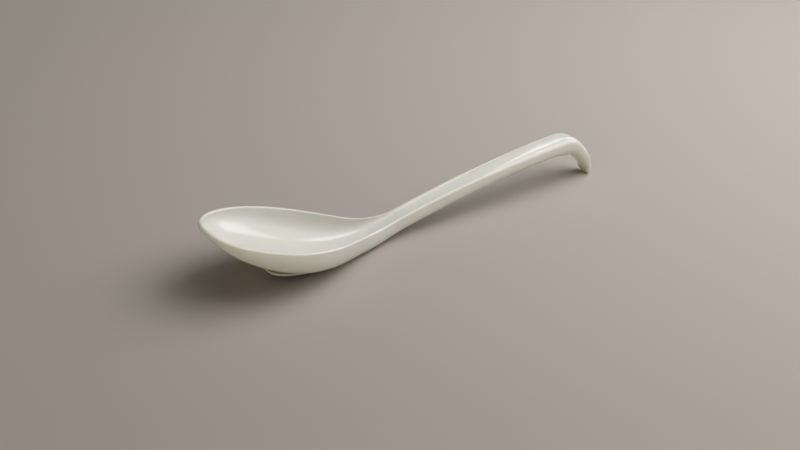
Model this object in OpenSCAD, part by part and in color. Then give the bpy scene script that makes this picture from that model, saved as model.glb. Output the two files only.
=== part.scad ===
// A Chinese soup spoon with a hooked handle, as it comes to rest on a table: tipped back on the
// heel of its foot ring and on the tip of its hook.
// X runs along the spoon towards the hook, Y across it and Z up. The origin is on the table,
// under the middle of the spoon's length. Lengths are in millimetres and angles in degrees.
// The shapes are laid out first with the rim level and the origin at the foot ring's centre, and
// then every point is tipped back.

/* [Bowl] */
// Width of the bowl over its rim
bowl_w = 42.5; // [36:0.5:47]
// Length of the bowl's front, from its tip to its widest place
front_l = 28; // [24:0.5:32]
// Length of the bowl's back, from its widest place to the neck
back_l = 33.5; // [29:0.5:40]
// Distance from the bowl's widest place back to its lowest place
low_back_l = 8; // [5:0.5:12]
// Height of the rim above the middle of the foot
rim_h = 14.8; // [12.4:0.2:17]
// Thickness of the bowl's wall and floor
wall = 1.8; // [1.2:0.1:2.4]
// Rounding of the rim's outer and inner edges
rim_r = 0.6; // [0.5:0.1:0.8]
// Flat left on top of the rim between the two roundings
rim_flat = 0.1; // [0.05:0.05:0.4]

/* [Foot ring] */
// Length of the oval foot ring along the spoon
ring_l = 25.5; // [22:0.5:28]
// Width of the oval foot ring
ring_w = 14.5; // [12:0.5:18]
// Thickness of the ring's wall
ring_wall = 1.7; // [1.2:0.1:2.5]
// Rounding of the ring's lower edges
ring_r = 0.5; // [0.3:0.1:0.6]
// Height of the ring under the bowl's lowest place
ring_h = 2.8; // [2.4:0.1:3.4]
// Distance from the bowl's widest place back to the ring's centre
ring_back_l = 12.4; // [11:0.2:14]
// Angle between the foot's plane and the rim, which rises towards the bowl's tip
foot_turn = 8; // [6:0.5:10]

/* [Neck] */
// Length of the neck along the rim line
neck_l = 19.8; // [16:0.2:26]
// Angle through which the neck turns up
neck_turn = 27.5; // [20:0.5:34]
// Width of the spoon where the neck ends and the handle starts
neck_w = 7.6; // [6:0.2:9]
// Depth of the spoon from its ridges to its underside at the same place
neck_t = 6.6; // [5:0.2:8]
// Depth of the channel between the two ridges at the same place
channel_d = 0.8; // [0.4:0.1:1.5]

/* [Handle] */
// Length of the handle between neck and hook, along its ridges
handle_l = 80; // [60:1:100]
// Angle through which the handle arches down again over its length
handle_turn = 8.7; // [4:0.1:14]
// Width of the handle where the hook starts
hook_w = 9.8; // [8:0.2:11]
// Depth of the handle at the same place
hook_t = 5.9; // [5:0.1:7]
// Rounding of the shoulders at the same place
shoulder_r = 1.4; // [1:0.1:2]
// Height of the crown between the shoulders there
crown_h = 0.5; // [0.2:0.1:1]

/* [Hook] */
// Extra depth in the crook where the handle bends into the hook
crook_t = 1.4; // [0:0.1:2]
// Length over which the depth swells before its greatest, and again after
crook_l = 9; // [6:0.5:12]
// How far past the hook's start the crook is deepest
crook_past_l = 1.5; // [0:0.5:4]
// Radius of the first bend over its outer face
bend_r = 10.5; // [9:0.5:14]
// Angle through which the first bend turns down
bend_turn = 45; // [36:1:52]
// Radius of the flatter stretch after the bend
claw_r = 27; // [20:1:40]
// Angle through which the flatter stretch turns
claw_turn = 25; // [18:1:32]
// Radius of the curl before the tip
curl_r = 9; // [7:0.5:12]
// Angle through which the curl turns in
curl_turn = 28; // [20:1:36]
// Length of the straight end after the curl
tip_run_l = 3; // [2.8:0.2:5]
// Width of the hook just before its rounded tip
tip_w = 7; // [5:0.2:8]
// Depth of the hook at the same place
tip_t = 1.8; // [1.4:0.1:3]
// Length over which the tip rounds off
tip_round_l = 2.4; // [1.6:0.1:2.8]
// Width of the straight edge at the very tip
tip_edge_w = 4.4; // [3:0.2:5]

/* [Hidden] */

ivory = [0.90, 0.89, 0.84];
warm_ivory = [0.84, 0.82, 0.74];

// The tip's rounding stops here, which leaves a narrow blunt edge
tip_round_turn = 75;

// Shares without a unit that give the curves their character
front_fullness_share = 2.35;
keel_fullness_share = 1.66;
squareness_share = 3.2;
hollow_squareness_share = 2.7;
ring_fullness_share = 2.5;
ring_top_share = 0.6;
flare_share = 1.06;
flare_slope_share = 1.58;
rise_share = 1.48;
rise_slope_share = 1.51;
tip_narrowing_share = 2.2;
tip_thinning_share = 3;
// Rounding where the channel's side meets its ridge, as a share of the channel's depth
channel_edge_share = 0.3;

// How finely the surfaces are divided
around_n = 20;
edge_n = 2;
front_n = 12;
back_n = 10;
neck_n = 8;
handle_n = 14;
hook_n = 18;
tip_n = 4;
ring_n = 64;

// Places along the spoon while its rim is level
wide_x = -ring_back_l;
tip_x = wide_x - front_l;
low_x = wide_x + low_back_l;
full_d = rim_h - ring_h;
floor_d = full_d - wall;
// Width of the rim over both its roundings and its flat
rim_lip = 2 * rim_r + rim_flat;

// Distances along the rim line, from the bowl's widest place towards the hook
neck_start = back_l;
neck_end = neck_start + neck_l;
handle_end = neck_end + handle_l;
bend_end = handle_end + bend_r * bend_turn * PI / 180;
claw_end = bend_end + claw_r * claw_turn * PI / 180;
curl_end = claw_end + curl_r * curl_turn * PI / 180;
line_end = curl_end + tip_run_l;
tip_start = line_end - tip_round_l;

function mix(a, b, t) = a + (b - a) * t;

// Goes from 0 to 1 with no slope at either end
function ease(t) = (1 - cos(180 * min(max(t, 0), 1))) / 2;

// The same along a curve whose slope in the middle is the share
function sway(t, share) =
    let (a = pow(min(max(t, 0), 1), share), b = pow(1 - min(max(t, 0), 1), share))
    a / (a + b);

// A sine or cosine on a rounded square: a share of 2 is a circle, and a larger one is squarer
function squared(v, share) = sign(v) * pow(abs(v), 2 / share);

// Place and slope on an arc: the start is [x, z, slope], and s is the distance from it
function on_arc(start, length, turn, s) =
    let (a = start[2], b = a + turn * s / length, r = length / (turn * PI / 180))
    [start[0] + r * (sin(b) - sin(a)), start[1] - r * (cos(b) - cos(a)), b];

neck_place = [wide_x + back_l, rim_h, 0];
handle_place = on_arc(neck_place, neck_l, neck_turn, neck_l);
bend_place = on_arc(handle_place, handle_l, -handle_turn, handle_l);
claw_place = on_arc(bend_place, bend_end - handle_end, -bend_turn, bend_end - handle_end);
curl_place = on_arc(claw_place, claw_end - bend_end, -claw_turn, claw_end - bend_end);
tip_place = on_arc(curl_place, curl_end - claw_end, -curl_turn, curl_end - claw_end);

// The rim line in the spoon's middle plane, along the rim, the ridges and the hook's outer face
function rim_line(s) =
    s <= neck_start ? [wide_x + s, rim_h, 0] :
    s <= neck_end ? on_arc(neck_place, neck_l, neck_turn, s - neck_start) :
    s <= handle_end ? on_arc(handle_place, handle_l, -handle_turn, s - neck_end) :
    s <= bend_end ? on_arc(bend_place, bend_end - handle_end, -bend_turn, s - handle_end) :
    s <= claw_end ? on_arc(claw_place, claw_end - bend_end, -claw_turn, s - bend_end) :
    s <= curl_end ? on_arc(curl_place, curl_end - claw_end, -curl_turn, s - claw_end) :
    [tip_place[0] + cos(tip_place[2]) * (s - curl_end),
     tip_place[1] + sin(tip_place[2]) * (s - curl_end),
     tip_place[2]];

// Share of the way along the handle, and along the hook up to its rounded tip
function along_handle(s) = ease((s - neck_end) / handle_l);
function along_hook(s) = max(s - handle_end, 0) / (tip_start - handle_end);
function thinning(s) = pow(along_hook(s), tip_thinning_share);

// Share of the crook's extra depth, from 0 beyond its ends to 1 at its deepest
function swelling(s) =
    pow(cos(90 * min(max((s - handle_end - crook_past_l) / crook_l, -1), 1)), 2);

// Half the width and the full depth of the handle and hook
function stem_half_w(s) =
    mix(mix(neck_w, hook_w, along_handle(s)), tip_w, pow(along_hook(s), tip_narrowing_share)) / 2;
function stem_t(s) =
    mix(mix(neck_t, hook_t, along_handle(s)), tip_t, thinning(s)) + crook_t * swelling(s);

// Half the spoon's width behind the bowl's widest place
function half_w(s) =
    mix(bowl_w / 2, stem_half_w(s), sway(pow(s / neck_end, flare_share), flare_slope_share));

// A quarter oval from the bowl's tip down to its lowest place
function oval_d(x, x_end, d, r) =
    let (far = abs(low_x - x) / (low_x - x_end))
    r + (d - r) * pow(max(1 - pow(far, keel_fullness_share), 0), 1 / keel_fullness_share);

// Share of the way from the bowl's lowest place to the handle
function rise(s) =
    sway(pow(max(s - low_back_l, 0) / (neck_end - low_back_l), rise_share), rise_slope_share);

// Depth of the underside and of the upper face below the rim line
function under_d(s) =
    s < low_back_l ? oval_d(wide_x + s, tip_x, full_d, rim_r) : mix(full_d, stem_t(s), rise(s));
function upper_d(s) =
    s < low_back_l ? oval_d(wide_x + s, tip_x + rim_lip, floor_d, rim_r) :
    mix(floor_d, mix(channel_d, -crown_h, along_handle(s)), rise(s));

// How square the upper face is, which the bowl has rounder than the handle
function upper_share(s) = mix(hollow_squareness_share, squareness_share, rise(s));

// Rounding of the edge towards the outside and towards the upper face
function outer_r(s) = mix(rim_r, shoulder_r, along_handle(s)) * mix(1, tip_t / hook_t, thinning(s));
function inner_r(s) = mix(rim_r, channel_d * channel_edge_share, ease(s / neck_end));

// One section as [across, up, inset] points: the outer face from +Y under the spoon to -Y, over
// that edge, the upper face back to +Y, and over the edge there
function section(w, under, upper, face_share, ro, ri) =
    let (lip = ro + rim_flat + ri)
    concat(
        [for (i = [0:around_n])
            concat(face_point(90 - 180 * i / around_n, w, under, ro, squareness_share), 0)],
        edge(-1, w, ro, ri),
        [for (i = [0:around_n])
            concat(face_point(180 * i / around_n - 90, w - lip, upper, ri, face_share), lip)],
        [for (i = [2 * edge_n - 1:-1:0]) edge(1, w, ro, ri)[i]]
    );

// A point [across, up] of the outer or upper face: v is 0 at its lowest place and 90 at +Y
function face_point(v, w, d, r, share) =
    [w * squared(sin(v), share), -r - (d - r) * squared(cos(v), share)];

// The points over one edge, between the outer face and the upper face
function edge(side, w, ro, ri) = concat(
    [for (i = [1:edge_n]) let (a = 90 * i / edge_n)
        [side * (w - ro * (1 - cos(a))), -ro * (1 - sin(a)), ro * (1 - cos(a))]],
    [for (i = [0:edge_n - 1]) let (a = 90 * i / edge_n)
        [side * (w - ro - rim_flat - ri * sin(a)), -ri * (1 - cos(a)), ro + rim_flat + ri * sin(a)]]
);

// A row of points round the bowl's front: t is 0 at the widest place and 1 at the bowl's tip
function front_row(t) =
    let (under = oval_d(wide_x - front_l * t, tip_x, full_d, rim_r),
         upper = oval_d(wide_x - (front_l - rim_lip) * t, tip_x + rim_lip, floor_d, rim_r),
         narrow = pow(1 - t * t, 1 / front_fullness_share))
    [for (p = section(bowl_w / 2, under, upper, upper_share(0), rim_r, rim_r))
        [wide_x - (front_l - p[2]) * t, p[0] * narrow, rim_h + p[1]]];

// A row square to the rim line, with its width and depth drawn in by shares
function line_row(s, width_share, depth_share) =
    let (at = rim_line(s))
    [for (p = section(half_w(s), under_d(s), upper_d(s), upper_share(s), outer_r(s), inner_r(s)))
        [at[0] - sin(at[2]) * p[1] * depth_share,
         p[0] * width_share,
         at[1] + cos(at[2]) * p[1] * depth_share]];

function line_rows(from, to, n) = [for (i = [0:n]) line_row(mix(from, to, i / n), 1, 1)];

// A row of the hook's tip, which rounds off in its depth and at its two corners
function tip_row(turn) =
    line_row(tip_start + tip_round_l * sin(turn), mix(tip_edge_w, tip_w, cos(turn)) / tip_w, cos(turn));

bowl_rows = concat(
    [for (i = [0:front_n - 1]) front_row(cos(90 * i / front_n))],
    line_rows(0, neck_start, back_n)
);
neck_rows = line_rows(neck_start, neck_end, neck_n);
handle_rows = line_rows(neck_end, handle_end, handle_n);
hook_rows = concat(
    line_rows(handle_end, tip_start, hook_n),
    [for (i = [1:tip_n]) tip_row(tip_round_turn * i / tip_n)]
);

// A point turned towards the hook's side of the spoon
function tipped(p, turn) =
    [p[0] * cos(turn) + p[2] * sin(turn), p[1], p[2] * cos(turn) - p[0] * sin(turn)];

// A point of the foot ring, from where the foot is flat to where the rim is level
function on_foot(p) = tipped(p, -foot_turn);

// The ring's heel, and the angle at which a table touches both the heel and the hook
heel = [for (a = [0:10:90]) on_foot([ring_l / 2 - ring_r * (1 - sin(a)), 0, ring_r * (1 - cos(a))])];
tip_back = min([for (row = hook_rows) for (p = row)
    max([for (h = heel) atan2(p[2] - h[2], p[0] - h[0])])]);

table_z = min([for (h = heel) tipped(h, tip_back)[2]]);
first_x = min([for (row = bowl_rows) for (p = row) tipped(p, tip_back)[0]]);
last_x = max([for (row = hook_rows) for (p = row) tipped(p, tip_back)[0]]);
function placed(p) = tipped(p, tip_back) - [(first_x + last_x) / 2, 0, table_z];

// A closed solid through rows of points, with a flat end where a flag asks for one
module loft(rows, start_cap, end_cap) {
    n = len(rows[0]);
    last = (len(rows) - 1) * n;
    polyhedron(
        points = [for (row = rows) for (p = row) placed(p)],
        faces = concat(
            [for (j = [0:len(rows) - 2]) for (i = [0:n - 1])
                [j * n + i, j * n + (i + 1) % n, (j + 1) * n + (i + 1) % n, (j + 1) * n + i]],
            start_cap ? [for (f = cap_faces()) [for (i = [len(f) - 1:-1:0]) f[i]]] : [],
            end_cap ? [for (f = cap_faces()) [for (i = f) last + i]] : []
        )
    );
}

// An end face in strips between the outer and the upper face, and a fan at each edge
function cap_faces() =
    let (upper = around_n + 1 + 2 * edge_n, n = 2 * upper)
    concat(
        [for (i = [0:around_n - 1]) [i, i + 1, upper + around_n - i - 1, upper + around_n - i]],
        [[for (i = [around_n:upper]) i]],
        [concat([for (i = [upper + around_n:n - 1]) i], [0])]
    );

// The bowl as one filled block under its rim, which cuts the ring to the bowl's underside
module bowl_block() {
    n = around_n + 1;
    rows = [for (row = bowl_rows) [for (i = [0:around_n]) row[i]]];
    last = (len(rows) - 1) * n;
    polyhedron(
        points = [for (row = rows) for (p = row) placed(p)],
        faces = concat(
            [for (j = [0:len(rows) - 2]) for (i = [0:n - 1])
                [j * n + i, j * n + (i + 1) % n, (j + 1) * n + (i + 1) % n, (j + 1) * n + i]],
            [[for (i = [0:n - 1]) last + i]]
        )
    );
}

// The oval ring's wall as [inset, up] points, from its outer top round its foot to its inner top
function ring_profile(top) = concat(
    [[0, top]],
    [for (a = [0:30:90]) [ring_r * (1 - cos(a)), ring_r * (1 - sin(a))]],
    [for (a = [0:30:90]) [ring_wall - ring_r * (1 - sin(a)), ring_r * (1 - cos(a))]],
    [[ring_wall, top]]
);

// A place on the ring's oval, as far inside its outer face as the inset says
function ring_point(turn, inset, up) = [
    (ring_l / 2 - inset) * squared(cos(turn), ring_fullness_share),
    (ring_w / 2 - inset) * squared(sin(turn), ring_fullness_share),
    up
];

module ring_blank() {
    profile = ring_profile(rim_h * ring_top_share);
    n = len(profile);
    polyhedron(
        points = [for (j = [0:ring_n - 1]) for (p = profile)
            placed(on_foot(ring_point(360 * j / ring_n, p[0], p[1])))],
        faces = [for (j = [0:ring_n - 1]) for (i = [0:n - 1]) let (k = (j + 1) % ring_n)
            [j * n + i, k * n + i, k * n + (i + 1) % n, j * n + (i + 1) % n]]
    );
}

module bowl() {
    color(ivory) loft(bowl_rows, false, true);
}

module foot_ring() {
    color(warm_ivory) difference() {
        ring_blank();
        bowl_block();
    }
}

module neck() {
    color(ivory) loft(neck_rows, true, true);
}

module handle() {
    color(ivory) loft(handle_rows, true, true);
}

module hook() {
    color(ivory) loft(hook_rows, true, true);
}

bowl();
foot_ring();
neck();
handle();
hook();
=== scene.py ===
"""A Chinese soup spoon with a hooked handle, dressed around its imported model."""
import math

import bmesh
import bpy
import numpy as np
from mathutils import Matrix, Quaternion, Vector
from mathutils.bvhtree import BVHTree
from mathutils.kdtree import KDTree


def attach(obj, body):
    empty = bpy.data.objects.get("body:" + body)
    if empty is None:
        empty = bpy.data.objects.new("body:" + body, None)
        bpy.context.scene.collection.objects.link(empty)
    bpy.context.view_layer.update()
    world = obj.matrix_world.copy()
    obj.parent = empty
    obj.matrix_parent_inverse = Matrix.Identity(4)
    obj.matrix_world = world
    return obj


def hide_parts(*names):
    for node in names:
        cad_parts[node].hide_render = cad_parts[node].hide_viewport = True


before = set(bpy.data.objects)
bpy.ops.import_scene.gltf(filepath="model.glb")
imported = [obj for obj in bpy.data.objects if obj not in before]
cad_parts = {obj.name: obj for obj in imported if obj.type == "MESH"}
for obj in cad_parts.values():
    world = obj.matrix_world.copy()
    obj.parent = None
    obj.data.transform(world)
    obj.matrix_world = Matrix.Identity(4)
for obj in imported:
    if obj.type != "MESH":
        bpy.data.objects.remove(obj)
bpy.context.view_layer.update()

# Sizes in metres and angles in degrees
MM = 0.001

BOWL_W = 42.5 * MM
FRONT_L = 28 * MM
BACK_L = 33.5 * MM
LOW_BACK_L = 8 * MM
RIM_H = 14.8 * MM
WALL = 1.8 * MM
RIM_R = 0.6 * MM
RIM_FLAT = 0.1 * MM

RING_L = 25.5 * MM
RING_W = 14.5 * MM
RING_WALL = 1.7 * MM
RING_R = 0.5 * MM
RING_H = 2.8 * MM
RING_BACK_L = 12.4 * MM
FOOT_TURN = 8
RING_FILLET = 0.2 * MM
RING_SINK = 0.4 * MM

NECK_L = 19.8 * MM
NECK_TURN = 27.5
NECK_W = 7.6 * MM
NECK_T = 6.6 * MM
CHANNEL_D = 0.8 * MM

HANDLE_L = 80 * MM
HANDLE_TURN = 8.7
HOOK_W = 9.8 * MM
HOOK_T = 5.9 * MM
SHOULDER_R = 1.4 * MM
CROWN_H = 0.5 * MM

CROOK_T = 1.4 * MM
CROOK_L = 9 * MM
CROOK_PAST_L = 1.5 * MM
BEND_R = 10.5 * MM
BEND_TURN = 45
CLAW_R = 27 * MM
CLAW_TURN = 25
CURL_R = 9 * MM
CURL_TURN = 28
TIP_RUN_L = 3 * MM
TIP_W = 7 * MM
TIP_T = 1.8 * MM
TIP_ROUND_L = 2.4 * MM
TIP_EDGE_W = 4.4 * MM
TIP_ROUND_TURN = 75

# Shares without a unit that give the curves their character
FRONT_FULLNESS = 2.35
KEEL_FULLNESS = 1.66
SQUARENESS = 3.2
HOLLOW_SQUARENESS = 2.7
RING_FULLNESS = 2.5
FLARE = 1.06
FLARE_SLOPE = 1.58
RISE = 1.48
RISE_SLOPE = 1.51
TIP_NARROWING = 2.2
TIP_THINNING = 3
CHANNEL_EDGE_SHARE = 0.3

# How finely the surfaces are divided
AROUND_N = 72
EDGE_N = 8
FRONT_N = 56
BACK_N = 40
NECK_N = 28
HANDLE_N = 64
HOOK_N = 56
TIP_N = 12
RING_N = 192
QUARTER_N = 6
HEEL_N = 9

# How close two points are that count as one, and how many of them a shared normal comes from
MERGE = 0.001 * MM
NEAR_N = 4

# How far wear reaches from an edge and from the foot
EDGE_REACH = 1.1 * MM
FOOT_REACH = 0.9 * MM

# Height over the foot up to which the ring's wall has no painted shade, and where its painted shade is
# full
PAINTED_SHADE_START_H = 0.65 * MM
PAINTED_SHADE_FULL_H = 1.1 * MM

# How far under the bowl the plain part of the ring's wall stays, clear of the fillet
UNDER_FILLET = 1.5 * RING_FILLET

# Places along the spoon while its rim is level, with the origin at the middle of its foot
WIDE_X = -RING_BACK_L
TIP_X = WIDE_X - FRONT_L
LOW_X = WIDE_X + LOW_BACK_L
FULL_D = RIM_H - RING_H
FLOOR_D = FULL_D - WALL
RIM_LIP = 2 * RIM_R + RIM_FLAT

# Distances along the rim line, from the bowl's widest place towards the hook
NECK_START = BACK_L
NECK_END = NECK_START + NECK_L
HANDLE_END = NECK_END + HANDLE_L
BEND_END = HANDLE_END + BEND_R * math.radians(BEND_TURN)
CLAW_END = BEND_END + CLAW_R * math.radians(CLAW_TURN)
CURL_END = CLAW_END + CURL_R * math.radians(CURL_TURN)
LINE_END = CURL_END + TIP_RUN_L
TIP_START = LINE_END - TIP_ROUND_L


def mix(a, b, t):
    return a + (b - a) * t


def ease(t):
    """Goes from 0 to 1 with no slope at either end."""
    return (1 - math.cos(math.pi * min(max(t, 0), 1))) / 2


def sway(t, slope):
    """The same along a curve with the given slope in its middle."""
    a = min(max(t, 0), 1) ** slope
    b = (1 - min(max(t, 0), 1)) ** slope
    return a / (a + b)


def on_arc(start, length, turn, s):
    """Place and slope on an arc, at the distance s from its start, which is (x, z, slope)."""
    x, z, slope = start
    a = math.radians(slope)
    b = a + math.radians(turn) * s / length
    r = length / math.radians(turn)
    return (x + r * (math.sin(b) - math.sin(a)), z - r * (math.cos(b) - math.cos(a)), math.degrees(b))


# The arcs of the rim line: where each one starts and ends, and how far it turns
ARCS = [
    (NECK_START, NECK_END, NECK_TURN),
    (NECK_END, HANDLE_END, -HANDLE_TURN),
    (HANDLE_END, BEND_END, -BEND_TURN),
    (BEND_END, CLAW_END, -CLAW_TURN),
    (CLAW_END, CURL_END, -CURL_TURN),
]


def rim_line(s):
    """Place and slope on the line along the rim, the ridges and the hook's outer face."""
    if s <= NECK_START:
        return (WIDE_X + s, RIM_H, 0)
    place = (WIDE_X + BACK_L, RIM_H, 0)
    for begin, end, turn in ARCS:
        if s <= end:
            return on_arc(place, end - begin, turn, s - begin)
        place = on_arc(place, end - begin, turn, end - begin)
    slope = math.radians(place[2])
    run = s - CURL_END
    return (place[0] + math.cos(slope) * run, place[1] + math.sin(slope) * run, place[2])


# Shares, half widths, thicknesses, depths under the rim line and roundings of the edges, at the
# distance s along that line
def along_handle(s):
    return ease((s - NECK_END) / HANDLE_L)


def along_hook(s):
    return max(s - HANDLE_END, 0) / (TIP_START - HANDLE_END)


def thinning(s):
    return along_hook(s) ** TIP_THINNING


def stem_half_w(s):
    return mix(mix(NECK_W, HOOK_W, along_handle(s)), TIP_W, along_hook(s) ** TIP_NARROWING) / 2


def swelling(s):
    """Share of the crook's extra depth, from 0 beyond its ends to 1 at its deepest."""
    t = min(max((s - HANDLE_END - CROOK_PAST_L) / CROOK_L, -1), 1)
    return math.cos(math.pi / 2 * t) ** 2


def stem_t(s):
    return mix(mix(NECK_T, HOOK_T, along_handle(s)), TIP_T, thinning(s)) + CROOK_T * swelling(s)


def half_w(s):
    return mix(BOWL_W / 2, stem_half_w(s), sway((s / NECK_END) ** FLARE, FLARE_SLOPE))


def oval_d(x, x_end, depth, rounding):
    """A quarter oval from the bowl's tip down to its lowest place."""
    far = abs(LOW_X - x) / (LOW_X - x_end)
    return rounding + (depth - rounding) * max(1 - far ** KEEL_FULLNESS, 0) ** (1 / KEEL_FULLNESS)


def rise(s):
    """Share of the way from the bowl's lowest place to the handle."""
    return sway((max(s - LOW_BACK_L, 0) / (NECK_END - LOW_BACK_L)) ** RISE, RISE_SLOPE)


def under_d(s):
    if s < LOW_BACK_L:
        return oval_d(WIDE_X + s, TIP_X, FULL_D, RIM_R)
    return mix(FULL_D, stem_t(s), rise(s))


def upper_d(s):
    if s < LOW_BACK_L:
        return oval_d(WIDE_X + s, TIP_X + RIM_LIP, FLOOR_D, RIM_R)
    return mix(FLOOR_D, mix(CHANNEL_D, -CROWN_H, along_handle(s)), rise(s))


def upper_fullness(s):
    """How square the upper face is, which the bowl has rounder than the handle."""
    return mix(HOLLOW_SQUARENESS, SQUARENESS, rise(s))


def outer_r(s):
    return mix(RIM_R, SHOULDER_R, along_handle(s)) * mix(1, TIP_T / HOOK_T, thinning(s))


def inner_r(s):
    return mix(RIM_R, CHANNEL_D * CHANNEL_EDGE_SHARE, ease(s / NECK_END))


def powered(v, fullness):
    """A sine or cosine on a fuller round in place of a circle, whose fullness is 2."""
    return math.copysign(abs(v) ** (2 / fullness), v)


def edge(side, w, ro, ri):
    """The points over one edge, between the outer face and the upper face."""
    turns = [math.radians(90 * i / EDGE_N) for i in range(EDGE_N + 1)]
    outside = [(side * (w - ro * (1 - math.cos(a))), -ro * (1 - math.sin(a)), ro * (1 - math.cos(a)))
               for a in turns[1:]]
    inside = [(side * (w - ro - RIM_FLAT - ri * math.sin(a)), -ri * (1 - math.cos(a)),
               ro + RIM_FLAT + ri * math.sin(a)) for a in turns[:-1]]
    return outside + inside


def face(w, depth, rounding, fullness, inset):
    """The points over the outer face from +Y to -Y, or back over the upper face where w is negative."""
    turns = [math.pi * (0.5 - i / AROUND_N) for i in range(AROUND_N + 1)]
    shares = [(powered(math.sin(a), fullness), powered(math.cos(a), fullness)) for a in turns]
    return [(w * across, -rounding - (depth - rounding) * down, inset) for across, down in shares]


def section(w, under, upper, inner_fullness, ro, ri):
    """A section as (across, up, inset) points: under the spoon to -Y, and back over its upper face."""
    lip = ro + RIM_FLAT + ri
    outer = face(w, under, ro, SQUARENESS, 0)
    inner = face(lip - w, upper, ri, inner_fullness, lip)
    return outer + edge(-1, w, ro, ri) + inner + edge(1, w, ro, ri)[::-1]


def front_row(t):
    """A row round the bowl's front: t is 0 at the widest place and 1 at the bowl's tip."""
    under = oval_d(WIDE_X - FRONT_L * t, TIP_X, FULL_D, RIM_R)
    upper = oval_d(WIDE_X - (FRONT_L - RIM_LIP) * t, TIP_X + RIM_LIP, FLOOR_D, RIM_R)
    narrow = max(1 - t * t, 0) ** (1 / FRONT_FULLNESS)
    return [(WIDE_X - (FRONT_L - inset) * t, across * narrow, RIM_H + up)
            for across, up, inset in section(BOWL_W / 2, under, upper, upper_fullness(0), RIM_R, RIM_R)]


def line_row(s, width_share=1, depth_share=1):
    """A row square to the rim line, with its width and depth drawn in by shares."""
    x, z, slope = rim_line(s)
    slope = math.radians(slope)
    points = section(half_w(s), under_d(s), upper_d(s), upper_fullness(s), outer_r(s), inner_r(s))
    return [(x - math.sin(slope) * up * depth_share,
             across * width_share,
             z + math.cos(slope) * up * depth_share)
            for across, up, _ in points]


def line_rows(begin, end, n):
    return [line_row(mix(begin, end, i / n)) for i in range(n + 1)]


def tip_row(turn):
    """A row of the hook's tip, which rounds off in its depth and at its two corners."""
    left = math.cos(turn)
    width_share = mix(TIP_EDGE_W, TIP_W, left) / TIP_W
    return line_row(TIP_START + TIP_ROUND_L * math.sin(turn), width_share, left)


def level_rows():
    """The rows of the bowl, neck, handle and hook while the rim is level."""
    front = [front_row(math.cos(math.radians(90 * i / FRONT_N))) for i in range(FRONT_N)]
    tip = [tip_row(math.radians(TIP_ROUND_TURN * (i + 1) / TIP_N)) for i in range(TIP_N)]
    return {
        "bowl": front + line_rows(0, NECK_START, BACK_N),
        "neck": line_rows(NECK_START, NECK_END, NECK_N),
        "handle": line_rows(NECK_END, HANDLE_END, HANDLE_N),
        "hook": line_rows(HANDLE_END, TIP_START, HOOK_N) + tip,
    }


# Turns the foot ring from where its foot is flat to where the rim is level
ON_FOOT = Matrix.Rotation(-math.radians(FOOT_TURN), 4, "Y")


def heel_points():
    """Points on the rounded heel of the foot ring while the rim is level."""
    turns = [math.radians(90 * i / HEEL_N) for i in range(HEEL_N + 1)]
    return [ON_FOOT @ Vector((RING_L / 2 - RING_R * (1 - math.sin(a)), 0, RING_R * (1 - math.cos(a))))
            for a in turns]


def rest_place(stretches):
    """The matrix that tips the spoon back until the heel and the hook's tip meet the table."""
    hook = np.array(stretches["hook"]).reshape(-1, 3)
    heel = heel_points()
    slopes = [np.arctan2(hook[:, 2] - p.z, hook[:, 0] - p.x) for p in heel]
    tip_back = np.max(slopes, axis=0).min()
    turn = Matrix.Rotation(tip_back, 3, "Y")
    points = np.array([row for rows in stretches.values() for row in rows]).reshape(-1, 3)
    along = (points @ np.array(turn).T)[:, 0]
    table = min((turn @ p).z for p in heel)
    return Matrix.Translation((-(along.min() + along.max()) / 2, 0, -table)) @ turn.to_4x4()


def placed(rows, rest):
    """Rows as they lie in the rest pose."""
    return [[rest @ Vector(p) for p in row] for row in rows]


def grid_faces(row_n, around, closed=False):
    """Faces between rows of points that each close on themselves."""
    faces = []
    for j in range(row_n if closed else row_n - 1):
        k = (j + 1) % row_n
        for i in range(around):
            n = (i + 1) % around
            faces.append((j * around + i, k * around + i, k * around + n, j * around + n))
    return faces


def cap_faces(around, first):
    """Faces across a section, in strips between its outer and its upper face."""
    upper = AROUND_N + 1 + 2 * EDGE_N
    strips = [(i, i + 1, upper + AROUND_N - i - 1, upper + AROUND_N - i) for i in range(AROUND_N)]
    left = tuple(range(AROUND_N, upper + 1))
    right = tuple(range(upper + AROUND_N, around)) + (0,)
    return [tuple(first + i for i in face) for face in strips + [left, right]]


def closed_mesh(name, rows, faces):
    """A closed smooth mesh, with points joined that fall together and its faces turned outwards."""
    mesh = bpy.data.meshes.new(name)
    mesh.from_pydata([tuple(p) for row in rows for p in row], [], faces)
    shape = bmesh.new()
    shape.from_mesh(mesh)
    bmesh.ops.remove_doubles(shape, verts=shape.verts, dist=MERGE)
    bmesh.ops.dissolve_degenerate(shape, edges=shape.edges, dist=MERGE)
    bmesh.ops.recalc_face_normals(shape, faces=shape.faces)
    shape.to_mesh(mesh)
    shape.free()
    mesh.shade_smooth()
    return mesh


def loft(name, rows, caps):
    """One closed mesh through its rows, with flat ends where it has caps."""
    around = len(rows[0])
    faces = grid_faces(len(rows), around)
    if "start" in caps:
        faces += cap_faces(around, 0)
    if "end" in caps:
        faces += cap_faces(around, (len(rows) - 1) * around)
    return closed_mesh(name, rows, faces)


class Skin:
    """The spoon without its ring as one smooth surface, which gives the pieces their shared normals."""

    def __init__(self, stretches):
        rows = stretches["bowl"][:]
        for name in ("neck", "handle", "hook"):
            rows += stretches[name][1:]
        mesh = loft("skin", rows, {"end"})
        self.normals = [v.normal.copy() for v in mesh.vertices]
        self.places = KDTree(len(mesh.vertices))
        for v in mesh.vertices:
            self.places.insert(v.co, v.index)
        self.places.balance()
        bpy.data.meshes.remove(mesh)

    def normal(self, place):
        """The normal at a place on the surface, from the points next to it."""
        near = self.places.find_n(place, NEAR_N)
        total = sum((self.normals[index] / (distance + MERGE) for _, index, distance in near), Vector())
        return total.normalized()


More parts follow.
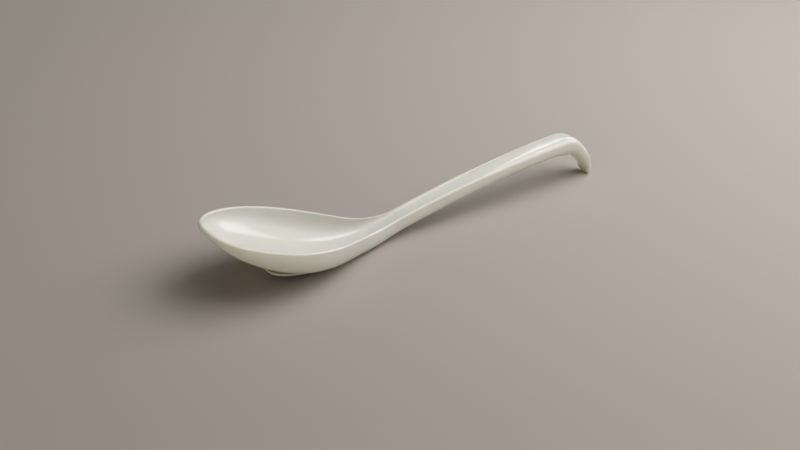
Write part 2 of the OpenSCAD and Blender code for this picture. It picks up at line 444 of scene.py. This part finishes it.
def store(mesh, name, values):
    """Keeps one number for each point, which the materials read as a mask."""
    layer = mesh.attributes.new(name, "FLOAT", "POINT")
    layer.data.foreach_set("value", [min(max(v, 0), 1) for v in values])


def mark_edges(mesh, rows):
    """Stores how near each point is to the rim, a ridge or a shoulder, from 0 to 1."""
    crests = [row[i] for row in rows for i in (AROUND_N + EDGE_N, len(row) - EDGE_N)]
    tree = KDTree(len(crests))
    for i, crest in enumerate(crests):
        tree.insert(crest, i)
    tree.balance()
    store(mesh, "edge", [1 - tree.find(v.co)[2] / EDGE_REACH for v in mesh.vertices])


def mark_contact(mesh, rest, stretches):
    """Stores how near each point is to what rubs on a table: the foot's plane and the hook's tip."""
    foot = (rest @ ON_FOOT).inverted()
    tip = stretches["hook"][-1]
    middle = sum(tip, Vector()) / len(tip)
    values = []
    for v in mesh.vertices:
        to_foot = 1 - (foot @ v.co).z / FOOT_REACH
        to_tip = 1 - (v.co - middle).length / TIP_W
        values.append(max(to_foot, to_tip))
    store(mesh, "contact", values)


def mark_inside(mesh, rest):
    """Stores how deep each point lies under the rim, where food and washing scratch the bowl."""
    level = rest.inverted()
    values = []
    for v in mesh.vertices:
        place = level @ v.co
        upward = (level.to_3x3() @ v.normal).z > 0
        values.append((RIM_H - place.z) / FLOOR_D if upward else 0)
    store(mesh, "inside", values)


def mark_painted_shade(mesh, rest):
    """Stores where shade is painted on the ring's wall: none over the foot, full higher up under the
    bowl.
    """
    foot = (rest @ ON_FOOT).inverted()
    store(mesh, "painted_shade", [((foot @ v.co).z - PAINTED_SHADE_START_H) / (PAINTED_SHADE_FULL_H - PAINTED_SHADE_START_H) for v in mesh.vertices])


def ring_rows(level_bowl):
    """Rows round the ring on its flat foot, each from the bowl's wall down round the foot and back."""
    to_foot = ON_FOOT.inverted()
    bowl = BVHTree.FromPolygons([to_foot @ Vector(p) for row in level_bowl for p in row],
                                grid_faces(len(level_bowl), len(level_bowl[0])))

    def point(inset, z, a):
        return ((RING_L / 2 - inset) * powered(math.cos(a), RING_FULLNESS),
                (RING_W / 2 - inset) * powered(math.sin(a), RING_FULLNESS), z)

    def under_bowl(inset, lift, a):
        x, y, _ = point(inset, 0, a)
        hit = bowl.ray_cast(Vector((x, y, -RIM_H)), Vector((0, 0, 1)))[0]
        return (x, y, hit.z + lift)

    def on_wall(inset, z, a):
        return point(inset, min(z, under_bowl(inset, -UNDER_FILLET, a)[2]), a)

    quarter = [math.radians(90 * i / QUARTER_N) for i in range(QUARTER_N + 1)]
    outside = [(-RING_FILLET * (1 - math.sin(b)), -RING_FILLET * (1 - math.cos(b))) for b in quarter]
    inside = [(RING_WALL - inset, drop) for inset, drop in reversed(outside)]
    foot = [(RING_R * (1 - math.cos(b)), RING_R * (1 - math.sin(b))) for b in quarter]
    foot += [(RING_WALL - inset, z) for inset, z in reversed(foot)]
    rows = []
    for j in range(RING_N):
        a = math.tau * (j + 0.5) / RING_N
        row = [under_bowl(-RING_FILLET, RING_SINK, a)]
        row += [under_bowl(inset, drop, a) for inset, drop in outside]
        row += [on_wall(0, z, a) for z in (PAINTED_SHADE_FULL_H, PAINTED_SHADE_START_H)]
        row += [point(inset, z, a) for inset, z in foot]
        row += [on_wall(RING_WALL, z, a) for z in (PAINTED_SHADE_START_H, PAINTED_SHADE_FULL_H)]
        row += [under_bowl(inset, drop, a) for inset, drop in inside]
        row += [under_bowl(RING_WALL + RING_FILLET, RING_SINK, a)]
        rows.append(row)
    return rows


# The photograph's camera: where it aims, how far off it is and which way it looks
AIM = Vector((-9.74, -4.70, 7.22)) * MM
CAMERA_DISTANCE = 509.5 * MM
CAMERA_PITCH = 29.14
CAMERA_TURN = 34.7
IMAGE_W = 800
FOCAL_PX = 1366.8
SENSOR_MM = 36

# Colours as light that a surface sends back, from 0 to 1
IVORY = (0.75, 0.742, 0.685, 1)
WARM_IVORY = (0.72, 0.707, 0.625, 1)
WORN_IVORY = (0.60, 0.585, 0.51, 1)
# Painted shade: a dark warm colour for the shadow on the ring's wall, in the crevice under the bowl
PAINTED_SHADE = (0.22, 0.17, 0.07, 1)
TABLE = (0.395, 0.350, 0.312, 1)
# Painted light: the table's colour where it is lighter, in place of the lamps' falloff
TABLE_PAINTED_LIGHTER = (0.55, 0.49, 0.437, 1)
BACKDROP = (0.40, 0.357, 0.322, 1)
SKY = (0.02, 0.02, 0.02, 1)

# Settings of the shader that are the same all over the plastic
PLASTIC = {
    "IOR": 1.52,
    "Sheen Weight": 0.12,
    "Subsurface Weight": 0.35,
    "Subsurface Radius": (1.0, 0.85, 0.55),
    "Subsurface Scale": 2.5 * MM,
}

# How rough the plastic is where it is clean, on the spoon and on its foot, and what slow
# unevenness, scratches and wear add to that
GLOSS_ROUGHNESS = 0.06
FOOT_ROUGHNESS = 0.16
UNEVEN_ROUGHNESS = 0.06
SCRATCH_ROUGHNESS = 0.10
WORN_ROUGHNESS = 0.35

# Shares of wear on the edges, of rubbing on the hook's tip and on the foot, of the painted shade on
# the ring's wall, and of the scratches outside the bowl
EDGE_WEAR = 0.25
TIP_RUB = 0.5
FOOT_RUB = 1.0
PAINTED_SHADE_SHARE = 0.9
SCRATCHED_OUTSIDE = 0.2

# Heights of the slow waves in the surface and depths of its scratches, and how far each one shows
WAVE_H = 0.06 * MM
WAVE_STRENGTH = 0.35
SCRATCH_D = 0.01 * MM
SCRATCH_STRENGTH = 0.3

# Places on the table, in metres: from where to where painted light turns it lighter along the camera's
# way, how far from the spoon it starts and ends to fade into the backdrop, and how far it reaches
PAINTED_LIGHT_SPAN = (-0.12, 0.30)
FADE_OUT = (0.25, 0.75)
TABLE_REACH = 4.0

TABLE_ROUGHNESS = 0.75
TABLE_SPECULAR = 0.2


class Nodes:
    """The nodes of a material, a world or a group, with short ways to add and join them."""

    def __init__(self, tree):
        self.tree = tree

    def add(self, kind, **settings):
        node = self.tree.nodes.new(kind)
        for key, value in settings.items():
            setattr(node, key, value)
        return node

    def put(self, value, socket):
        """Joins one socket to another, or sets a socket to a plain value."""
        if isinstance(value, bpy.types.NodeSocket):
            self.tree.links.new(value, socket)
        else:
            socket.default_value = value

    def maths(self, operation, *values):
        """One sum of some values, each a socket or a number."""
        node = self.add("ShaderNodeMath", operation=operation)
        for value, socket in zip(values, node.inputs):
            self.put(value, socket)
        return node.outputs[0]

    def noise(self, vector, scale, detail, roughness=0.5):
        node = self.add("ShaderNodeTexNoise")
        settings = {"Vector": vector, "Scale": scale, "Detail": detail, "Roughness": roughness}
        for name, value in settings.items():
            self.put(value, node.inputs[name])
        return node.outputs["Fac"]

    def between(self, value, low, high, to_high=1.0, kind="LINEAR"):
        """Brings the range of a value to one from 0 up, and holds it there."""
        node = self.add("ShaderNodeMapRange", clamp=True, interpolation_type=kind)
        settings = {"Value": value, "From Min": low, "From Max": high, "To Max": to_high}
        for name, setting in settings.items():
            self.put(setting, node.inputs[name])
        return node.outputs["Result"]

    def mixed(self, share, below, above):
        """A colour between two colours."""
        node = self.add("ShaderNodeMix", data_type="RGBA")
        for name, value in (("Factor", share), ("A", below), ("B", above)):
            self.put(value, node.inputs[name])
        return node.outputs["Result"]

    def mixed_shaders(self, share, below, above):
        node = self.add("ShaderNodeMixShader")
        for value, socket in zip((share, below, above), node.inputs):
            self.put(value, socket)
        return node.outputs[0]


class Group(Nodes):
    """A shader node group with named inputs and outputs."""

    def __init__(self, name, inputs, outputs):
        super().__init__(bpy.data.node_groups.new(name, "ShaderNodeTree"))
        for way, sockets in (("INPUT", inputs), ("OUTPUT", outputs)):
            for socket, kind in sockets.items():
                self.tree.interface.new_socket(socket, in_out=way, socket_type="NodeSocket" + kind)
        self.inputs = self.add("NodeGroupInput").outputs
        self.outputs = self.add("NodeGroupOutput").inputs


def scratches_group():
    """Sparse hairlines from washing and use, in two directions that cross at a shallow angle."""
    g = Group("fine_scratches", {"Vector": "Vector", "Scale": "Float"}, {"Mask": "Float"})
    lines = []
    for turn, stretch in ((24, 0.018), (-17, 0.03)):
        lay = g.add("ShaderNodeMapping")
        lay.inputs["Rotation"].default_value = (0, 0, math.radians(turn))
        lay.inputs["Scale"].default_value = (stretch, 1, 1)
        g.put(g.inputs["Vector"], lay.inputs["Vector"])
        hair = g.noise(lay.outputs[0], g.inputs["Scale"], detail=3.0, roughness=0.55)
        lines.append(g.between(hair, low=0.63, high=0.70))
    patches = g.between(g.noise(g.inputs["Vector"], scale=130.0, detail=2.0), low=0.42, high=0.62)
    g.put(g.maths("MULTIPLY", g.maths("MAXIMUM", *lines), patches), g.outputs["Mask"])
    return g.tree


def surface_group():
    """The slow waviness and the fine grain of a pressed, tumbled moulding."""
    g = Group("moulded_surface",
              {"Vector": "Vector", "Grain": "Float"},
              {"Height": "Float", "Gloss": "Float"})
    wave = g.noise(g.inputs["Vector"], scale=95.0, detail=1.0)
    grain = g.noise(g.inputs["Vector"], scale=2400.0, detail=2.0)
    g.put(g.maths("ADD", wave, g.maths("MULTIPLY", grain, g.inputs["Grain"])), g.outputs["Height"])
    gloss = g.noise(g.inputs["Vector"], scale=210.0, detail=4.0, roughness=0.6)
    g.put(g.between(gloss, low=0.3, high=0.7), g.outputs["Gloss"])
    return g.tree


def wear_group():
    """A mask read from the mesh, broken up so that wear has no straight border."""
    g = Group("worn_places", {"Vector": "Vector", "Place": "Float", "Scale": "Float"}, {"Mask": "Float"})
    unbroken = 0.4
    blots = g.noise(g.inputs["Vector"], g.inputs["Scale"], detail=4.0, roughness=0.65)
    broken = g.maths("ADD", g.between(blots, low=0.3, high=0.7), unbroken)
    wear = g.maths("MULTIPLY", g.inputs["Place"], broken)
    g.put(g.between(wear, low=0.25, high=1.0), g.outputs["Mask"])
    return g.tree


def tone_group():
    """Melamine's own slight unevenness of colour, the colour of worn places, and a painted shade."""
    g = Group("melamine_tone",
              {"Vector": "Vector", "Tone": "Color", "Warm": "Color", "Worn": "Color", "Wear": "Float",
               "Stain": "Color", "Stained": "Float"},
              {"Color": "Color"})
    cloud = g.noise(g.inputs["Vector"], scale=70.0, detail=3.0)
    warmth = g.between(cloud, low=0.3, high=0.75, to_high=0.5)
    colour = g.mixed(warmth, g.inputs["Tone"], g.inputs["Warm"])
    colour = g.mixed(g.inputs["Wear"], colour, g.inputs["Worn"])
    # Painted shade, darkening the ring's wall where it lies in shadow under the bowl
    colour = g.mixed(g.inputs["Stained"], colour, g.inputs["Stain"])
    g.put(colour, g.outputs["Color"])
    return g.tree


GROUPS = {
    "scratches": scratches_group(),
    "surface": surface_group(),
    "wear": wear_group(),
    "tone": tone_group(),
}


def melamine(name, roughness, rub):
    """Glossy off-white melamine: rub is how far worn places turn dull."""
    material = bpy.data.materials.new(name)
    material.use_nodes = True
    nodes = Nodes(material.node_tree)
    shader = nodes.tree.nodes["Principled BSDF"].inputs
    for socket, value in PLASTIC.items():
        shader[socket].default_value = value
    place = nodes.add("ShaderNodeTexCoord").outputs["Object"]

    def group(key, **values):
        node = nodes.add("ShaderNodeGroup", node_tree=GROUPS[key])
        nodes.put(place, node.inputs["Vector"])
        for socket, value in values.items():
            nodes.put(value, node.inputs[socket])
        return node.outputs

    def mask(key):
        return nodes.add("ShaderNodeAttribute", attribute_name=key).outputs["Fac"]

    def bump(height, strength, distance, **settings):
        node = nodes.add("ShaderNodeBump", **settings)
        nodes.put(strength, node.inputs["Strength"])
        nodes.put(distance, node.inputs["Distance"])
        nodes.put(height, node.inputs["Height"])
        return node

    edges = nodes.maths("MULTIPLY", group("wear", Place=mask("edge"), Scale=700.0)["Mask"], EDGE_WEAR)
    rubbed = nodes.maths("MULTIPLY", group("wear", Place=mask("contact"), Scale=1400.0)["Mask"], rub)
    worn = nodes.maths("MAXIMUM", edges, rubbed)
    inside = nodes.maths("MULTIPLY_ADD", mask("inside"), 1 - SCRATCHED_OUTSIDE, SCRATCHED_OUTSIDE)
    scratches = nodes.maths("MULTIPLY", group("scratches", Scale=2600.0)["Mask"], inside)
    surface = group("surface", Grain=0.10)

    tone = group("tone", Tone=IVORY, Warm=WARM_IVORY, Worn=WORN_IVORY, Wear=worn,
                 # The ring's wall gets painted shade from its mask
                 Stain=PAINTED_SHADE, Stained=nodes.maths("MULTIPLY", mask("painted_shade"), PAINTED_SHADE_SHARE))
    nodes.put(tone["Color"], shader["Base Color"])

    rough = nodes.maths("MULTIPLY_ADD", surface["Gloss"], UNEVEN_ROUGHNESS, roughness)
    rough = nodes.maths("MULTIPLY_ADD", scratches, SCRATCH_ROUGHNESS, rough)
    rough = nodes.maths("MULTIPLY_ADD", worn, WORN_ROUGHNESS, rough)
    nodes.put(rough, shader["Roughness"])

    slow = bump(surface["Height"], WAVE_STRENGTH, WAVE_H)
    fine = bump(nodes.maths("MAXIMUM", scratches, rubbed), SCRATCH_STRENGTH, SCRATCH_D, invert=True)
    nodes.put(slow.outputs["Normal"], fine.inputs["Normal"])
    nodes.put(fine.outputs["Normal"], shader["Normal"])
    return material


def add_piece(name, mesh, material):
    """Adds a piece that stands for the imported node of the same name."""
    mesh.materials.append(material)
    piece = bpy.data.objects.new("spoon_" + name, mesh)
    bpy.context.scene.collection.objects.link(piece)
    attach(piece, "root")
    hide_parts(name)


def build_spoon():
    level = level_rows()
    rest = rest_place(level)
    stretches = {name: placed(rows, rest) for name, rows in level.items()}
    skin = Skin(stretches)
    gloss = melamine("melamine_gloss", GLOSS_ROUGHNESS, TIP_RUB)
    for name, rows in stretches.items():
        mesh = loft(name, rows, {"end"} if name == "bowl" else {"start", "end"})
        mark_edges(mesh, rows)
        mark_contact(mesh, rest, stretches)
        mark_inside(mesh, rest)
        mesh.normals_split_custom_set_from_vertices([skin.normal(v.co) for v in mesh.vertices])
        add_piece(name, mesh, gloss)

    rows = placed(ring_rows(level["bowl"]), rest @ ON_FOOT)
    mesh = closed_mesh("foot_ring", rows, grid_faces(len(rows), len(rows[0]), closed=True))
    for mask in ("edge", "inside"):
        store(mesh, mask, [0.0] * len(mesh.vertices))
    mark_contact(mesh, rest, stretches)
    # Painted shade on the ring's wall, from none over the foot to full under the bowl
    mark_painted_shade(mesh, rest)
    add_piece("foot_ring", mesh, melamine("melamine_foot", FOOT_ROUGHNESS, FOOT_RUB))


def shown_rays(nodes):
    """A share that is 1 for the rays that see the backdrop: the camera's, and those in gloss or glass."""
    rays = nodes.add("ShaderNodeLightPath").outputs
    indirect = nodes.maths("MAXIMUM", rays["Is Glossy Ray"], rays["Is Transmission Ray"])
    return nodes.maths("MAXIMUM", rays["Is Camera Ray"], indirect)


def table_material():
    """A plain matt table top with painted light that turns it lighter along the camera's way, fading into
    the backdrop's colour far from the spoon.
    """
    material = bpy.data.materials.new("table")
    material.use_nodes = True
    nodes = Nodes(material.node_tree)
    shader = nodes.tree.nodes["Principled BSDF"]
    shader.inputs["Roughness"].default_value = TABLE_ROUGHNESS
    shader.inputs["Specular IOR Level"].default_value = TABLE_SPECULAR
    place = nodes.add("ShaderNodeTexCoord").outputs["Object"]

    turn = math.radians(CAMERA_TURN)
    ahead = nodes.add("ShaderNodeVectorMath", operation="DOT_PRODUCT")
    nodes.put(place, ahead.inputs[0])
    nodes.put((math.sin(turn), math.cos(turn), 0), ahead.inputs[1])
    # Painted light: the table's colour turns lighter away from the camera, in place of the lamps' falloff
    painted_light = nodes.between(ahead.outputs["Value"], *PAINTED_LIGHT_SPAN)
    nodes.put(nodes.mixed(painted_light, TABLE, TABLE_PAINTED_LIGHTER), shader.inputs["Base Color"])

    off = nodes.add("ShaderNodeVectorMath", operation="LENGTH")
    nodes.put(place, off.inputs[0])
    faded = nodes.between(off.outputs["Value"], *FADE_OUT, kind="SMOOTHSTEP")
    backdrop = nodes.add("ShaderNodeEmission")
    backdrop.inputs["Color"].default_value = BACKDROP
    seen = nodes.maths("MULTIPLY", shown_rays(nodes), faded)
    blend = nodes.mixed_shaders(seen, shader.outputs["BSDF"], backdrop.outputs[0])
    nodes.put(blend, nodes.tree.nodes["Material Output"].inputs["Surface"])
    return material


def build_floor():
    """A large plain table top under the spoon."""
    corners = [(x * TABLE_REACH, y * TABLE_REACH, 0) for x, y in ((-1, -1), (1, -1), (1, 1), (-1, 1))]
    mesh = bpy.data.meshes.new("table")
    mesh.from_pydata(corners, [], [(0, 1, 2, 3)])
    mesh.materials.append(table_material())
    floor = bpy.data.objects.new("table", mesh)
    bpy.context.scene.collection.objects.link(floor)


def build_camera():
    turn, pitch = math.radians(CAMERA_TURN), math.radians(CAMERA_PITCH)
    right = Vector((math.cos(turn), -math.sin(turn), 0))
    ahead = Vector((math.sin(turn) * math.cos(pitch), math.cos(turn) * math.cos(pitch), -math.sin(pitch)))
    data = bpy.data.cameras.new("camera")
    data.sensor_width = SENSOR_MM
    data.lens = FOCAL_PX / IMAGE_W * SENSOR_MM
    camera = bpy.data.objects.new("camera", data)
    place = Matrix((right, right.cross(ahead), -ahead)).transposed().to_4x4()
    camera.matrix_world = Matrix.Translation(AIM - ahead * CAMERA_DISTANCE) @ place
    bpy.context.scene.collection.objects.link(camera)
    bpy.context.scene.camera = camera


# Softboxes: azimuth from +X towards +Y, elevation and roll in degrees, distance, width and height
# in metres, brightness where 1 is white, colour, and which rays see it. The soft keys light the
# spoon without a glare, and the windows are only reflected in it.
LAMPS = [
    ("key", -25, 50, 0, 0.55, 0.6, 0.45, 2.65, (1.0, 1.0, 1.02), "diffuse"),
    ("front_key", -50, 58, 0, 0.75, 0.8, 0.7, 1.25, (1.0, 1.0, 1.0), "diffuse"),
    ("ceiling", 0, 85, 0, 1.0, 0.8, 0.8, 0.5, (0.95, 1.0, 1.0), "both"),
    ("left_wall", -165, 20, 0, 1.0, 1.2, 0.8, 0.6, (1.1, 1.0, 0.85), "both"),
    ("near_wall", -130, 5, 0, 0.9, 1.2, 0.3, 1.0, (1.09, 1.0, 0.78), "both"),
    ("wide_window", 5, 27, 12, 1.0, 1.05, 0.42, 2.1, (0.98, 1.0, 1.04), "glossy"),
    ("tall_window", 45, 57, 0, 1.0, 0.16, 0.9, 3.0, (0.98, 1.0, 1.04), "glossy"),
]


def build_lights():
    for name, azimuth, elevation, roll, distance, width, height, brightness, colour, rays in LAMPS:
        data = bpy.data.lights.new(name, "AREA")
        data.shape = "RECTANGLE"
        data.size, data.size_y = width, height
        data.energy = brightness * width * height * math.pi
        data.color = colour
        lamp = bpy.data.objects.new(name, data)
        a, e = math.radians(azimuth), math.radians(elevation)
        way = Vector((math.cos(a) * math.cos(e), math.sin(a) * math.cos(e), math.sin(e)))
        lamp.location = way * distance
        lamp.rotation_mode = "QUATERNION"
        lamp.rotation_quaternion = way.to_track_quat("Z", "Y") @ Quaternion((0, 0, 1), math.radians(roll))
        lamp.visible_camera = False
        lamp.visible_diffuse = rays != "glossy"
        lamp.visible_glossy = rays != "diffuse"
        bpy.context.scene.collection.objects.link(lamp)


def build_world():
    """A dim sky, which shows the backdrop's colour where it is seen."""
    world = bpy.data.worlds.new("studio")
    bpy.context.scene.world = world
    world.use_nodes = True
    nodes = Nodes(world.node_tree)
    nodes.tree.nodes.clear()
    dim = nodes.add("ShaderNodeBackground")
    dim.inputs["Color"].default_value = SKY
    shown = nodes.add("ShaderNodeBackground")
    shown.inputs["Color"].default_value = BACKDROP
    seen = nodes.mixed_shaders(shown_rays(nodes), dim.outputs[0], shown.outputs[0])
    nodes.put(seen, nodes.add("ShaderNodeOutputWorld").inputs["Surface"])


build_spoon()
build_floor()
build_camera()
build_lights()
build_world()
bpy.context.scene.view_settings.view_transform = "Standard"
